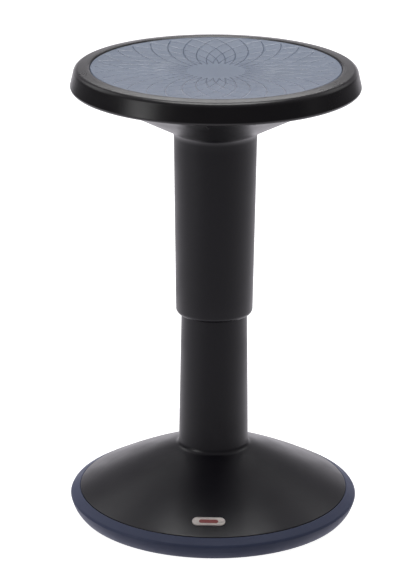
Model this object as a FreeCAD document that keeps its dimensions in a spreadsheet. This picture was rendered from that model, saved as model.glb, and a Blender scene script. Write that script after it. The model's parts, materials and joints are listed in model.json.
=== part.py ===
"""Height-adjustable wobble stool.

A weighted base rocks on a domed sole. A gas spring stands in it, inside two telescoping trumpet
mouldings, and carries a round padded seat with a release lever in its underside.

Millimetres. Z is up, the origin is on the floor under the centre of the base, and the seat stands
at the height it rests at. Every driving size is a cell of the sheet "Dims". Outlines are pairs of
radius and height, written as sums of those cells and plain numbers.
"""

import FreeCAD, Part
import os

import Sketcher

SIZES = {
    # sole, pan and rubber ring of the base
    "flat_radius": 25,
    "rock_radius": 900,
    "sole_radius": 50,
    "sole_top": 4,
    "pan_floor_low": 4.1,
    "pan_floor_top": 12,
    "pan_floor_radius": 60,
    "pan_knee_radius": 64,
    "pan_knee_top": 8,
    "pan_step": 4.5,
    "pan_step_top": 15.2,
    "pan_edge": 157.8,
    "pan_edge_low": 23.5,
    "pan_edge_top": 35.6,
    "pan_edge_wall": 3.4,
    "ring_gap": 0.2,
    "ring_inner": 116,
    "ring_mid": 150,
    "ring_mid_top": 17,
    "ring_foot_radius": 161.2,
    "ring_foot": 15.6,
    "ring_bulge": 34,
    "ring_radius": 169.5,
    "ring_widest": 32,
    "ring_shoulder_radius": 168.2,
    "ring_shoulder": 34.5,
    "ring_lip_radius": 158.9,
    "ring_lip": 40,
    # trumpet of the base: dome and lower column
    "wall": 3,
    "dome_edge_top": 40.5,
    "dome_inner_edge": 38.9,
    "dome_bulge": 790,
    "column_foot_radius": 40.9,
    "column_foot": 94.6,
    "column_inner_foot": 92.5,
    "column_top_radius": 37,
    "column_top": 345,
    "column_fillet": 7,
    # trumpet of the seat: sleeve, funnel and flange
    "sleeve_radius": 44.7,
    "sleeve_bore": 41.2,
    "sleeve_low": 258,
    "sleeve_lip": 263,
    "sleeve_lip_round": 5.5,
    "neck_radius": 47.8,
    "neck": 476,
    "neck_fillet": 10,
    "funnel_radius": 134,
    "funnel_top": 520.2,
    "flange_radius": 159,
    "flange": 526.2,
    "skin_rise": 3.3,
    "cup_top": 527,
    # seat pan and pad
    "pad_radius": 142.9,
    "pad_low": 541,
    "pad_edge": 551,
    "pad_dish": 5,
    "deck": 4,
    "recess_radius": 143.3,
    "crest_radius": 148,
    "seat_top": 552,
    "shoulder_radius": 156.5,
    "shoulder": 551,
    "shoulder_round": 6.5,
    "skirt_top_radius": 162,
    "skirt_top": 545.2,
    "skirt_inner": 159.6,
    "rim_radius": 165.6,
    "rim_widest": 530,
    "rim_foot_radius": 162.4,
    "rim_foot": 526.3,
    "rim_foot_round": 4,
    "rib": 2.5,
    # stand tube, guide bush and gas cylinder
    "tube_low": 14,
    "tube_low_radius": 24.2,
    "tube_radius": 25,
    "tube_bore": 23,
    "tube_top": 340,
    "taper_top": 78,
    "tube_plate_low": 20,
    "tube_plate_top": 23,
    "tube_plate_hole": 4.6,
    "bush_low": 275,
    "bush_bore": 14.08,
    "bush_flange": 2,
    "cylinder_low": 178,
    "cylinder_radius": 14,
    "cylinder_bore": 12,
    "cylinder_mouth": 9,
    "cylinder_taper": 480,
    "cylinder_top": 520,
    "cylinder_top_radius": 13.3,
    "cylinder_cap": 8,
    "valve_low": 475,
    "valve_neck": 4.05,
    "pin_radius": 3,
    "pin_low": 494,
    "pin_top": 523,
    "running": 0.05,
    # piston rod and the bearing it hangs in
    "rod_radius": 5,
    "rod_neck": 4,
    "rod_low": 14.8,
    "rod_groove_radius": 3.2,
    "rod_groove": 16.2,
    "rod_groove_height": 1.2,
    "rod_shoulder": 30.3,
    "rod_tip_radius": 3.5,
    "race_radius": 12,
    "race_thick": 2,
    "ball_radius": 1.6,
    "ball_circle": 9,
    "ball_height": 26.65,
    "piston_low": 250,
    "piston_top": 262,
    "piston_radius": 11.93,
    "seal_groove": 9.8,
    # hub, counterweight and their fasteners
    "hub_flange_radius": 58,
    "hub_flange_top": 20,
    "hub_radius": 31,
    "hub_top": 76,
    "hub_fillet": 2,
    "hub_bolt_circle": 41,
    "hub_bolt_seat": 8.2,
    "weight_inner": 64,
    "weight_outer": 96,
    "weight_low": 16.1,
    "weight_top": 27,
    "weight_screw_circle": 80,
    "base_screw_circle": 105,
    "base_screw_seat": 9,
    "base_boss_low": 14.6,
    # seat plate, lever and pivot
    "plate_low": 512,
    "plate_top": 516,
    "plate_half": 62,
    "plate_corner": 48,
    "socket_low": 478,
    "socket_radius": 19,
    "plate_bolt_circle": 70,
    "insert_top": 528,
    "shell_screw_circle": 128,
    "shell_screw_seat": 523.5,
    "pivot_reach": 34,
    "pivot": 522,
    "pivot_radius": 2.5,
    "ear_gap": 3.4,
    "ear": 3,
    "lever_thick": 6,
    "paddle_width": 24,
    "slot_start": 112,
    "slot_end": 149,
    "slot_half": 13,
    # badge
    "badge_reach": 138.5,
    "badge_rise": 51.1,
    "badge_run": 7.1,
    "badge_drop": 3.7,
    "badge_out": 0.55,
    "badge_up": 1.06,
    "badge_half": 13,
    "badge_round": 6,
}
DERIVED = {
    # heights of the rocking surface at three radii, the pad's dish, and the pan's underside
    "sole_edge": "(sole_radius^2 - flat_radius^2) / (2 * rock_radius)",
    "pan_edge_sole": "(ring_inner^2 - flat_radius^2) / (2 * rock_radius)",
    "ring_mid_sole": "(ring_mid^2 - flat_radius^2) / (2 * rock_radius)",
    "dish_radius": "(pad_radius^2 + pad_dish^2) / (2 * pad_dish)",
    "pan_deck": "pad_low - deck",
}
LEVER_TURN = -100  # degrees about Z from +X to the side that the lever is on
SEAT_RIB_TURN = 15  # degrees from the lever to the first rib of the seat pan
BASE_SCREW_TURN = 22.5  # degrees from +X to the first base screw, between two ribs
BADGE_TURN = -92.2  # degrees about Z from +X to the badge
BADGE_TILT = 27.5  # degrees that the badge leans outwards

doc = FreeCAD.newDocument("wobble_stool")
sheet = doc.addObject("Spreadsheet::Sheet", "Dims")
for row, (alias, content) in enumerate([*SIZES.items(), *DERIVED.items()], start=1):
    sheet.set(f"A{row}", alias)
    sheet.set(f"B{row}", f"={content}" if alias in DERIVED else str(content))
    sheet.setAlias(f"B{row}", alias)
doc.recompute()

NODES = []


# ---------------------------------------------------------------- helpers


def number(text):
    """The value of a sum of cells and plain numbers, such as "pan_deck - 4"."""
    total = 0.0
    sign = 1
    for word in text.split():
        if word in "+-":
            sign = 1 if word == "+" else -1
        else:
            total += sign * (sheet.get(word) if word[0].isalpha() else float(word))
    return total


def bound(text):
    """The same sum as an expression of the sheet's cells."""
    return " ".join(f"Dims.{word}" if word[0].isalpha() else word for word in text.split())


def less(high, low):
    """The sum high less the sum low, which begins with a cell or a number."""
    flips = {"+": "-", "-": "+"}
    return f"{high} - " + " ".join(flips.get(word, word) for word in low.split())


def origin_part(body, role):
    return next(item for item in body.Origin.OriginFeatures if item.Role == role)


def new_body(name, turn=0):
    """A body whose label is its node's name, turned about Z."""
    body = doc.addObject("PartDesign::Body", name)
    body.Label = name
    up = FreeCAD.Vector(0, 0, 1)
    body.Placement = FreeCAD.Placement(FreeCAD.Vector(0, 0, 0), FreeCAD.Rotation(up, turn))
    NODES.append(body)
    return body


def new_sketch(body, name, plane, offset=("0", "0", "0"), axis=(0, 0, 1), angle=0):
    """A sketch on one of the body's origin planes, moved by offset and turned about axis."""
    sketch = body.newObject("Sketcher::SketchObject", f"{body.Name}_{name}")
    sketch.AttachmentSupport = (origin_part(body, plane), [""])
    sketch.MapMode = "FlatFace"
    sketch.AttachmentOffset = FreeCAD.Placement(
        FreeCAD.Vector(*[number(part) for part in offset]),
        FreeCAD.Rotation(FreeCAD.Vector(*axis), angle),
    )
    for letter, part in zip("xyz", offset):
        sketch.setExpression(f"AttachmentOffset.Base.{letter}", bound(part))
    return sketch


def rule(sketch, kind, *target_and_text):
    """Adds a dimension to a sketch and binds it to the sheet."""
    *target, text = target_and_text
    index = sketch.addConstraint(Sketcher.Constraint(kind, *target, number(text)))
    sketch.setExpression(f"Constraints[{index}]", bound(text))


def fix_point(sketch, geo, end, x, y):
    """Dimensions one point of a sketch from the sketch's origin."""
    rule(sketch, "DistanceX", -1, 1, geo, end, x)
    rule(sketch, "DistanceY", -1, 1, geo, end, y)


def arc_between(start, end, radius, side):
    """An arc from start to end that curves about a centre on its left (1) or right (-1)."""
    chord = end - start
    normal = FreeCAD.Vector(-chord.y, chord.x, 0).normalize() * side
    reach = (radius**2 - (chord.Length / 2) ** 2) ** 0.5
    middle = (start + end) * 0.5 + normal * (reach - radius)
    return Part.Arc(start, middle, end) if side > 0 else Part.Arc(end, middle, start)


def draw_outline(sketch, points):
    """A closed outline. A point is (x, y), or (x, y, radius, side) where an arc leaves it."""
    corners = [FreeCAD.Vector(number(point[0]), number(point[1]), 0) for point in points]
    first = sketch.GeometryCount
    ends = []
    for index, point in enumerate(points):
        start = corners[index]
        end = corners[(index + 1) % len(points)]
        geo = first + index
        if len(point) == 2:
            sketch.addGeometry(Part.LineSegment(start, end), False)
            ends.append((geo, 1, 2))
        else:
            radius, side = point[2:]
            sketch.addGeometry(arc_between(start, end, number(radius), side), False)
            rule(sketch, "Radius", geo, radius)
            ends.append((geo, 1, 2) if side > 0 else (geo, 2, 1))
    for index, (geo, begin, finish) in enumerate(ends):
        following, following_begin, _ = ends[(index + 1) % len(ends)]
        join = Sketcher.Constraint("Coincident", geo, finish, following, following_begin)
        sketch.addConstraint(join)
        fix_point(sketch, geo, begin, points[index][0], points[index][1])


def draw_circle(sketch, x, y, radius):
    centre = FreeCAD.Vector(number(x), number(y), 0)
    circle = Part.Circle(centre, FreeCAD.Vector(0, 0, 1), number(radius))
    geo = sketch.addGeometry(circle, False)
    rule(sketch, "Radius", geo, radius)
    fix_point(sketch, geo, 3, x, y)


def draw_hexagon(sketch, across_flats, x="0"):
    """A regular hexagon about (x, 0), with two of its corners on the X direction."""
    corner = FreeCAD.Vector(number(across_flats) / 3**0.5, 0, 0)
    points = []
    for index in range(6):
        spoke = FreeCAD.Rotation(FreeCAD.Vector(0, 0, 1), 60 * index).multVec(corner)
        points.append((f"{x} + {spoke.x:.5f}", f"{spoke.y:.5f}"))
    draw_outline(sketch, points)


def box_points(low_x, high_x, low_y, high_y):
    return [(low_x, low_y), (high_x, low_y), (high_x, high_y), (low_x, high_y)]


def revolve(body, sketch, kind="Revolution", angle=360):
    """Turns a sketch about its own vertical axis, as a solid or as a Groove."""
    feature = body.newObject(f"PartDesign::{kind}", f"{sketch.Name}_{kind}")
    feature.Profile = sketch
    feature.ReferenceAxis = (sketch, ["V_Axis"])
    feature.Angle = angle
    feature.Midplane = angle < 360
    doc.recompute()
    return feature


def turned(name, points, turn=0):
    """A body turned about Z from one outline."""
    body = new_body(name, turn)
    sketch = new_sketch(body, "outline", "XZ_Plane")
    draw_outline(sketch, points)
    revolve(body, sketch)
    return body


def pad(body, sketch, length=None, midplane=False, downward=False):
    """A pad of the given length, or up to the first face that it meets if none is given."""
    feature = body.newObject("PartDesign::Pad", f"{sketch.Name}_pad")
    feature.Profile = sketch
    if length is None:
        feature.Type = "UpToFirst"
    else:
        feature.setExpression("Length", bound(length))
    feature.Midplane = midplane
    feature.Reversed = downward
    doc.recompute()
    return feature


def pocket(body, sketch, length, upward=False, midplane=False):
    """A pocket, which has to take material away."""
    before = body.Shape.Volume
    feature = body.newObject("PartDesign::Pocket", f"{sketch.Name}_cut")
    feature.Profile = sketch
    feature.setExpression("Length", bound(length))
    feature.Midplane = midplane
    feature.Reversed = upward
    doc.recompute()
    if feature.Shape.Volume > before - 1e-3:
        raise RuntimeError(f"{feature.Name} cuts nothing")
    return feature


def around(body, features, count):
    """Repeats features about the body's Z axis."""
    feature = body.newObject("PartDesign::PolarPattern", f"{features[0].Name}_set")
    feature.Originals = features
    feature.Axis = (origin_part(body, "Z_Axis"), [""])
    feature.Angle = 360
    feature.Occurrences = count
    body.Tip = feature
    doc.recompute()
    return feature


def round_edge(body, radius, height, fillet):
    """Fillets the level circular edge with the given radius and height."""
    base = body.Tip
    names = []
    for index, edge in enumerate(base.Shape.Edges, start=1):
        point = edge.valueAt(edge.FirstParameter)
        off = abs(point.x**2 + point.y**2 - number(radius) ** 2) ** 0.5
        if off < 1 and abs(point.z - number(height)) < 0.02 and edge.BoundBox.ZLength < 0.02:
            names.append(f"Edge{index}")
    feature = body.newObject("PartDesign::Fillet", f"{body.Name}_{fillet}")
    feature.Base = (base, names)
    feature.setExpression("Radius", bound(fillet))
    doc.recompute()


def holes(body, name, count, circle, radius, low, high, first=0):
    """Round holes from low to high, on a circle, the first at an angle from the body's X."""
    sketch = new_sketch(body, name, "XY_Plane", ("0", "0", low), angle=first)
    draw_circle(sketch, circle, "0", radius)
    around(body, [pocket(body, sketch, less(high, low), upward=True)], count)


def bosses(body, name, count, circle, radius, low, high, first=0):
    """Round bosses like holes. With no high they run up to the first face that they meet."""
    sketch = new_sketch(body, name, "XY_Plane", ("0", "0", low), angle=first)
    draw_circle(sketch, circle, "0", radius)
    around(body, [pad(body, sketch, high and less(high, low))], count)


def screws(name, count, circle, first, head, shank):
    """Separate screws. head is (across flats, low, high) and shank is (radius, low, high)."""
    body = new_body(name, first)
    stem_sketch = new_sketch(body, "stem", "XY_Plane", ("0", "0", shank[1]))
    draw_circle(stem_sketch, circle, "0", shank[0])
    stem = pad(body, stem_sketch, less(shank[2], shank[1]))
    head_sketch = new_sketch(body, "head", "XY_Plane", ("0", "0", head[1]))
    draw_hexagon(head_sketch, head[0], circle)
    around(body, [stem, pad(body, head_sketch, less(head[2], head[1]))], count)


# ---------------------------------------------------------------- base


def make_sole_pad():
    """Rubber disc that the stool rests and rocks on, flat in the middle."""
    turned("sole_pad", [
        ("0", "0"),
        ("flat_radius", "0", "rock_radius", 1),
        ("sole_radius", "sole_edge"),
        ("sole_radius", "sole_top"),
        ("0", "sole_top"),
    ])


def make_base_pan():
    """Ribbed dish that carries the hub and the weight and closes the base from below."""
    body = turned("base_pan", [
        ("0", "pan_floor_low"),
        ("sole_radius + ring_gap", "pan_floor_low"),
        ("sole_radius + ring_gap", "sole_edge", "rock_radius", 1),
        ("ring_inner", "pan_edge_sole"),
        ("ring_inner", "pan_edge_sole + pan_step"),
        ("ring_mid", "ring_mid_top"),
        ("pan_edge", "pan_edge_low"),
        ("pan_edge", "pan_edge_top"),
        ("pan_edge - pan_edge_wall", "pan_edge_top"),
        ("pan_edge - pan_edge_wall", "pan_edge_low + 2"),
        ("ring_mid - 2", "ring_mid_top + 3.6"),
        ("ring_inner", "pan_step_top"),
        ("pan_knee_radius", "pan_knee_top"),
        ("pan_floor_radius", "pan_floor_top"),
        ("0", "pan_floor_top"),
    ])
    sketch = new_sketch(body, "rib", "XZ_Plane")
    draw_outline(sketch, [
        ("pan_floor_radius - 1", "pan_knee_top"),
        ("pan_knee_radius", "pan_knee_top - 2"),
        ("ring_inner + 2", "pan_step_top - 2"),
        ("ring_inner + 2", "weight_low - 0.1"),
        ("pan_floor_radius - 1", "weight_low - 0.1"),
    ])
    around(body, [pad(body, sketch, "rib", midplane=True)], 8)
    turn = BASE_SCREW_TURN
    circle = "weight_screw_circle"
    bosses(body, "weight_boss", 4, circle, "7", "pan_knee_top", "weight_low - 0.1", turn)
    holes(body, "weight_hole", 4, circle, "3.05", "pan_knee_top + 1.2", "weight_low", turn)
    circle = "hub_bolt_circle"
    holes(body, "hub_recess", 4, circle, "7.8", "pan_floor_low", "hub_bolt_seat", 45)
    holes(body, "hub_hole", 4, circle, "4.1", "hub_bolt_seat", "pan_floor_top", 45)
    circle = "base_screw_circle"
    holes(body, "base_recess", 6, circle, "4.8", "0", "base_screw_seat", turn)
    holes(body, "base_hole", 6, circle, "2.3", "base_screw_seat", "base_boss_low", turn)


def make_base_ring():
    """Rubber ring around the edge of the base, which the stool leans on when it tips far over."""
    turned("base_ring", [
        ("ring_inner + ring_gap", "pan_edge_sole", "rock_radius", 1),
        ("ring_mid", "ring_mid_sole"),
        ("ring_foot_radius", "ring_foot", "ring_bulge", 1),
        ("ring_radius", "ring_widest"),
        ("ring_shoulder_radius", "ring_shoulder"),
        ("ring_lip_radius", "ring_lip"),
        ("pan_edge + ring_gap", "ring_lip - 0.6"),
        ("pan_edge + ring_gap", "pan_edge_low - 0.2"),
        ("ring_mid", "ring_mid_top - ring_gap"),
        ("ring_inner + ring_gap", "pan_edge_sole + pan_step - ring_gap"),
    ])


def make_base_shell():
    """Dome and lower column in one trumpet moulding, with bosses for the base screws."""
    body = turned("base_shell", [
        ("pan_edge - pan_edge_wall", "pan_edge_top + 0.1"),
        ("pan_edge", "pan_edge_top + 0.1"),
        ("pan_edge", "dome_edge_top", "dome_bulge", 1),
        ("column_foot_radius", "column_foot"),
        ("column_top_radius", "column_top"),
        ("column_top_radius - wall", "column_top"),
        ("column_foot_radius - wall", "column_inner_foot", "dome_bulge - wall", -1),
        ("pan_edge - pan_edge_wall", "dome_inner_edge"),
    ])
    round_edge(body, "column_foot_radius", "column_foot", "column_fillet")
    turn = BASE_SCREW_TURN
    circle = "base_screw_circle"
    bosses(body, "boss", 6, circle, "5.5", "base_boss_low", None, turn)
    holes(body, "boss_hole", 6, circle, "2.05", "base_boss_low", "base_boss_low + 14", turn)


def make_hub():
    """Steel hub with the tapered socket that the stand tube is pressed into."""
    body = turned("base_hub", [
        ("tube_low_radius", "pan_floor_top"),
        ("hub_flange_radius", "pan_floor_top"),
        ("hub_flange_radius", "hub_flange_top"),
        ("hub_radius", "hub_flange_top"),
        ("hub_radius", "hub_top"),
        ("tube_radius", "hub_top"),
    ])
    round_edge(body, "hub_radius", "hub_flange_top", "hub_fillet")
    holes(body, "hole", 4, "hub_bolt_circle", "4.1", "pan_floor_top", "hub_flange_top", 45)
    head = ("13", "pan_floor_low + 0.2", "hub_bolt_seat")
    shank = ("4", "hub_bolt_seat", "hub_flange_top + 8")
    screws("hub_bolts", 4, "hub_bolt_circle", 45, head, shank)
    nuts = new_body("hub_nuts", 45)
    sketch = new_sketch(nuts, "hexagon", "XY_Plane", ("0", "0", "hub_flange_top"))
    draw_hexagon(sketch, "13", "hub_bolt_circle")
    draw_circle(sketch, "hub_bolt_circle", "0", "4.05")
    around(nuts, [pad(nuts, sketch, "6.5")], 4)


def make_counterweight():
    """Cast ring that keeps the centre of gravity low."""
    body = turned("counterweight", box_points("weight_inner", "weight_outer", "weight_low", "weight_top"))
    circle = "weight_screw_circle"
    holes(body, "hole", 4, circle, "3.3", "weight_low", "weight_top", BASE_SCREW_TURN)
    head = ("10", "weight_top", "weight_top + 4")
    shank = ("3", "pan_knee_top + 1.5", "weight_top")
    screws("weight_screws", 4, circle, BASE_SCREW_TURN, head, shank)


def make_base_screws():
    head = ("8", "base_screw_seat - 2.7", "base_screw_seat")
    shank = ("2", "base_screw_seat", "base_boss_low + 12")
    screws("base_screws", 6, "base_screw_circle", BASE_SCREW_TURN, head, shank)


def make_stand_tube():
    """Outer tube of the gas spring, and the bush at its mouth that guides the cylinder."""
    turned("stand_tube", [
        ("tube_low_radius", "tube_low"),
        ("tube_radius", "taper_top"),
        ("tube_radius", "tube_top"),
        ("tube_bore", "tube_top"),
        ("tube_bore", "tube_plate_top"),
        ("tube_plate_hole", "tube_plate_top"),
        ("tube_plate_hole", "tube_plate_low"),
        ("tube_bore - 0.6", "tube_plate_low"),
        ("tube_bore - 0.6", "tube_low"),
    ])
    turned("guide_bush", [
        ("bush_bore", "bush_low"),
        ("tube_bore - running", "bush_low"),
        ("tube_bore - running", "tube_top"),
        ("tube_radius", "tube_top"),
        ("tube_radius", "tube_top + bush_flange"),
        ("bush_bore", "tube_top + bush_flange"),
    ])


def make_badge():
    """Blank stadium-shaped plate on the front of the dome."""
    body = new_body("badge", BADGE_TURN)
    sketch = new_sketch(body, "skin", "XZ_Plane")
    draw_outline(sketch, [
        ("badge_reach + badge_run", "badge_rise - badge_drop"),
        ("badge_reach + badge_run + badge_out", "badge_rise - badge_drop + badge_up"),
        ("badge_reach - badge_run + badge_out", "badge_rise + badge_drop + badge_up"),
        ("badge_reach - badge_run", "badge_rise + badge_drop"),
    ])
    revolve(body, sketch, angle=24)
    place = ("badge_reach", "0", "badge_rise")
    trim = new_sketch(body, "trim", "XY_Plane", place, axis=(0, 1, 0), angle=BADGE_TILT)
    draw_outline(trim, box_points("- 30", "30", "- 40", "40"))
    draw_outline(trim, [
        ("badge_round", "- badge_half"),
        ("badge_round", "badge_half", "badge_round + 0.02", 1),
        ("- badge_round", "badge_half"),
        ("- badge_round", "- badge_half", "badge_round + 0.02", 1),
    ])
    pocket(body, trim, "20", midplane=True)


# ---------------------------------------------------------------- rod and bearing


def make_bearing():
    """Thrust bearing that lets the seat swivel: two races, a cage and its balls."""
    hole = "tube_plate_hole"
    low_race = box_points(hole, "race_radius", "tube_plate_top", "tube_plate_top + race_thick")
    turned("bearing_race_lower", low_race)
    hole = "rod_neck + running"
    high_race = box_points(hole, "race_radius", "rod_shoulder - race_thick", "rod_shoulder")
    turned("bearing_race_upper", high_race)
    cage_low = "ball_height - 0.75"
    cage_top = "ball_height + 0.75"
    cage = turned("bearing_cage", box_points("6.6", "11.4", cage_low, cage_top))
    holes(cage, "pocket", 10, "ball_circle", "ball_radius + 0.15", cage_low, cage_top)
    balls = new_body("bearing_balls")
    ball = balls.newObject("PartDesign::AdditiveSphere", "ball")
    ball.setExpression("Radius", bound("ball_radius"))
    ball.setExpression("Placement.Base.x", bound("ball_circle"))
    ball.setExpression("Placement.Base.z", bound("ball_height"))
    doc.recompute()
    around(balls, [ball], 10)


def make_piston_rod():
    """Rod that stands on the bearing, held down by a washer and a clip under the tube's plate."""
    turned("piston_rod", [
        ("0", "rod_low"),
        ("rod_neck", "rod_low"),
        ("rod_neck", "rod_groove"),
        ("rod_groove_radius", "rod_groove"),
        ("rod_groove_radius", "rod_groove + rod_groove_height"),
        ("rod_neck", "rod_groove + rod_groove_height"),
        ("rod_neck", "rod_shoulder"),
        ("rod_radius", "rod_shoulder"),
        ("rod_radius", "piston_low"),
        ("rod_tip_radius", "piston_low"),
        ("rod_tip_radius", "piston_top + 6"),
        ("0", "piston_top + 6"),
    ])
    clip_low = "rod_groove + 0.1"
    clip_top = "rod_groove + rod_groove_height - 0.1"
    turned("rod_clip", box_points("rod_groove_radius + running", "7", clip_low, clip_top))
    washer_low = "rod_groove + rod_groove_height + 0.1"
    washer_top = "tube_plate_low - 0.2"
    turned("rod_washer", box_points("rod_neck + running", "8", washer_low, washer_top))
    buffer_low = "rod_shoulder + 0.05"
    turned("end_buffer", box_points("rod_radius + running", "11", buffer_low, "rod_shoulder + 12"))


def make_piston():
    """Piston with its seal and nut on the top of the rod."""
    turned("piston", [
        ("rod_tip_radius + running", "piston_low"),
        ("piston_radius", "piston_low"),
        ("piston_radius", "piston_low + 4.4"),
        ("seal_groove", "piston_low + 4.4"),
        ("seal_groove", "piston_low + 7.6"),
        ("piston_radius", "piston_low + 7.6"),
        ("piston_radius", "piston_top"),
        ("rod_tip_radius + running", "piston_top"),
    ])
    seal_low = "piston_low + 4.5"
    seal_top = "piston_low + 7.5"
    inner = "seal_groove + running"
    turned("piston_seal", box_points(inner, "cylinder_bore - running", seal_low, seal_top))
    nut = new_body("piston_nut")
    sketch = new_sketch(nut, "hexagon", "XY_Plane", ("0", "0", "piston_top"))
    draw_hexagon(sketch, "11")
    draw_circle(sketch, "0", "0", "rod_tip_radius + running")
    pad(nut, sketch, "5")


# ---------------------------------------------------------------- seat


def make_gas_cylinder():
    """Cylinder with its tapered top, the rod guide in its mouth and the valve in its head."""
    turned("gas_cylinder", [
        ("cylinder_mouth", "cylinder_low"),
        ("cylinder_radius", "cylinder_low"),
        ("cylinder_radius", "cylinder_taper"),
        ("cylinder_top_radius", "cylinder_top"),
        ("valve_neck + running", "cylinder_top"),
        ("valve_neck + running", "cylinder_top - cylinder_cap"),
        ("cylinder_bore", "cylinder_top - cylinder_cap"),
        ("cylinder_bore", "cylinder_low + 1.5"),
        ("cylinder_mouth", "cylinder_low + 1.5"),
    ], LEVER_TURN)
    outer = "cylinder_bore - running"
    guide_low = "cylinder_low + 1.6"
    guide_top = "cylinder_low + 13"
    turned("rod_guide", box_points("rod_radius + 0.07", outer, guide_low, guide_top), LEVER_TURN)
    turned("valve_body", [
        ("0", "valve_low"),
        (outer, "valve_low"),
        (outer, "cylinder_top - cylinder_cap - running"),
        ("valve_neck", "cylinder_top - cylinder_cap - running"),
        ("valve_neck", "cylinder_top"),
        ("pin_radius + running", "cylinder_top"),
        ("pin_radius + running", "pin_low - 4"),
        ("0", "pin_low - 4"),
    ], LEVER_TURN)


def make_release_pin():
    turned("release_pin", [
        ("0", "pin_low"),
        ("pin_radius", "pin_low"),
        ("pin_radius", "pin_top - 1"),
        ("pin_radius - 1", "pin_top"),
        ("0", "pin_top"),
    ], LEVER_TURN)


def make_seat_plate():
    """Steel plate with a tapered socket for the cylinder and two ears for the lever's pivot."""
    body = new_body("seat_plate", LEVER_TURN)
    plate = new_sketch(body, "plate", "XY_Plane", ("0", "0", "plate_low"))
    half = "plate_half"
    corner = "plate_corner"
    draw_outline(plate, [
        (half, f"- {corner}"),
        (half, corner),
        (corner, half),
        (f"- {corner}", half),
        (f"- {half}", corner),
        (f"- {half}", f"- {corner}"),
        (f"- {corner}", f"- {half}"),
        (corner, f"- {half}"),
    ])
    pad(body, plate, "plate_top - plate_low")
    socket = new_sketch(body, "socket", "XY_Plane", ("0", "0", "socket_low"))
    draw_circle(socket, "0", "0", "socket_radius")
    pad(body, socket, "plate_low - socket_low + 1")
    for side, start in (("left", "ear_gap"), ("right", "- ear_gap - ear")):
        ear = new_sketch(body, f"ear_{side}", "XZ_Plane", ("0", "0", start))
        draw_outline(ear, [
            ("pivot_reach - 6", "plate_top - 1"),
            ("pivot_reach + 6", "plate_top - 1"),
            ("pivot_reach + 6", "pivot + 1"),
            ("pivot_reach + 2", "pivot + 5"),
            ("pivot_reach - 2", "pivot + 5"),
            ("pivot_reach - 6", "pivot + 1"),
        ])
        draw_circle(ear, "pivot_reach", "pivot", "pivot_radius")
        pad(body, ear, "ear")
    bore = new_sketch(body, "bore", "XZ_Plane")
    draw_outline(bore, [
        ("0", "socket_low - 1"),
        ("cylinder_radius + 0.07", "socket_low - 1"),
        ("cylinder_top_radius + 0.07", "plate_top + 1"),
        ("0", "plate_top + 1"),
    ])
    revolve(body, bore, "Groove")
    holes(body, "hole", 4, "plate_bolt_circle", "3.3", "plate_low", "plate_top", 45)


def make_plate_fasteners():
    head = ("10", "plate_low - 4.1", "plate_low - 0.1")
    shank = ("3", "plate_low - 0.1", "insert_top - 1")
    screws("plate_bolts", 4, "plate_bolt_circle", LEVER_TURN + 45, head, shank)
    body = new_body("plate_inserts", LEVER_TURN + 45)
    sketch = new_sketch(body, "sleeve", "XY_Plane", ("0", "0", "plate_top + 0.2"))
    draw_circle(sketch, "plate_bolt_circle", "0", "5")
    draw_circle(sketch, "plate_bolt_circle", "0", "3.05")
    around(body, [pad(body, sketch, "insert_top - plate_top - 0.2")], 4)


def make_seat_pan():
    """Ribbed pan with the hollow rim around the pad's recess."""
    body = turned("seat_pan", [
        ("0", "pan_deck"),
        ("recess_radius + 3.5", "pan_deck"),
        ("recess_radius + 3.5", "seat_top - 3.8"),
        ("shoulder_radius - 2", "seat_top - 4.2"),
        ("skirt_inner - 1", "skirt_top - 0.7"),
        ("skirt_inner + 0.6", "rim_widest + 4"),
        ("skirt_inner", "rim_widest + 0.8"),
        ("skirt_inner", "rim_foot + 1.1"),
        ("rim_foot_radius", "rim_foot", "rim_foot_round", 1),
        ("rim_radius", "rim_widest"),
        ("skirt_top_radius", "skirt_top", "shoulder_round", 1),
        ("shoulder_radius", "shoulder"),
        ("crest_radius", "seat_top"),
        ("crest_radius - 3", "seat_top - 0.1"),
        ("recess_radius", "seat_top - 1.4"),
        ("recess_radius", "pad_low - 0.1"),
        ("0", "pad_low - 0.1"),
    ], LEVER_TURN + SEAT_RIB_TURN)
    sketch = new_sketch(body, "rib", "XZ_Plane")
    draw_outline(sketch, box_points("62", "145", "cup_top", "pan_deck + 0.5"))
    around(body, [pad(body, sketch, "rib", midplane=True)], 12)
    turn = 45 - SEAT_RIB_TURN
    circle = "plate_bolt_circle"
    bosses(body, "plate_boss", 4, circle, "8.5", "plate_top + 0.1", "pan_deck + 0.5", turn)
    holes(body, "insert_hole", 4, circle, "5.05", "plate_top", "insert_top + 0.2", turn)
    turn = 30 - SEAT_RIB_TURN
    circle = "shell_screw_circle"
    bosses(body, "shell_boss", 6, circle, "5.2", "cup_top + 0.1", "pan_deck + 0.5", turn)
    holes(body, "shell_hole", 6, circle, "2.05", "cup_top", "pan_deck - 1", turn)


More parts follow.
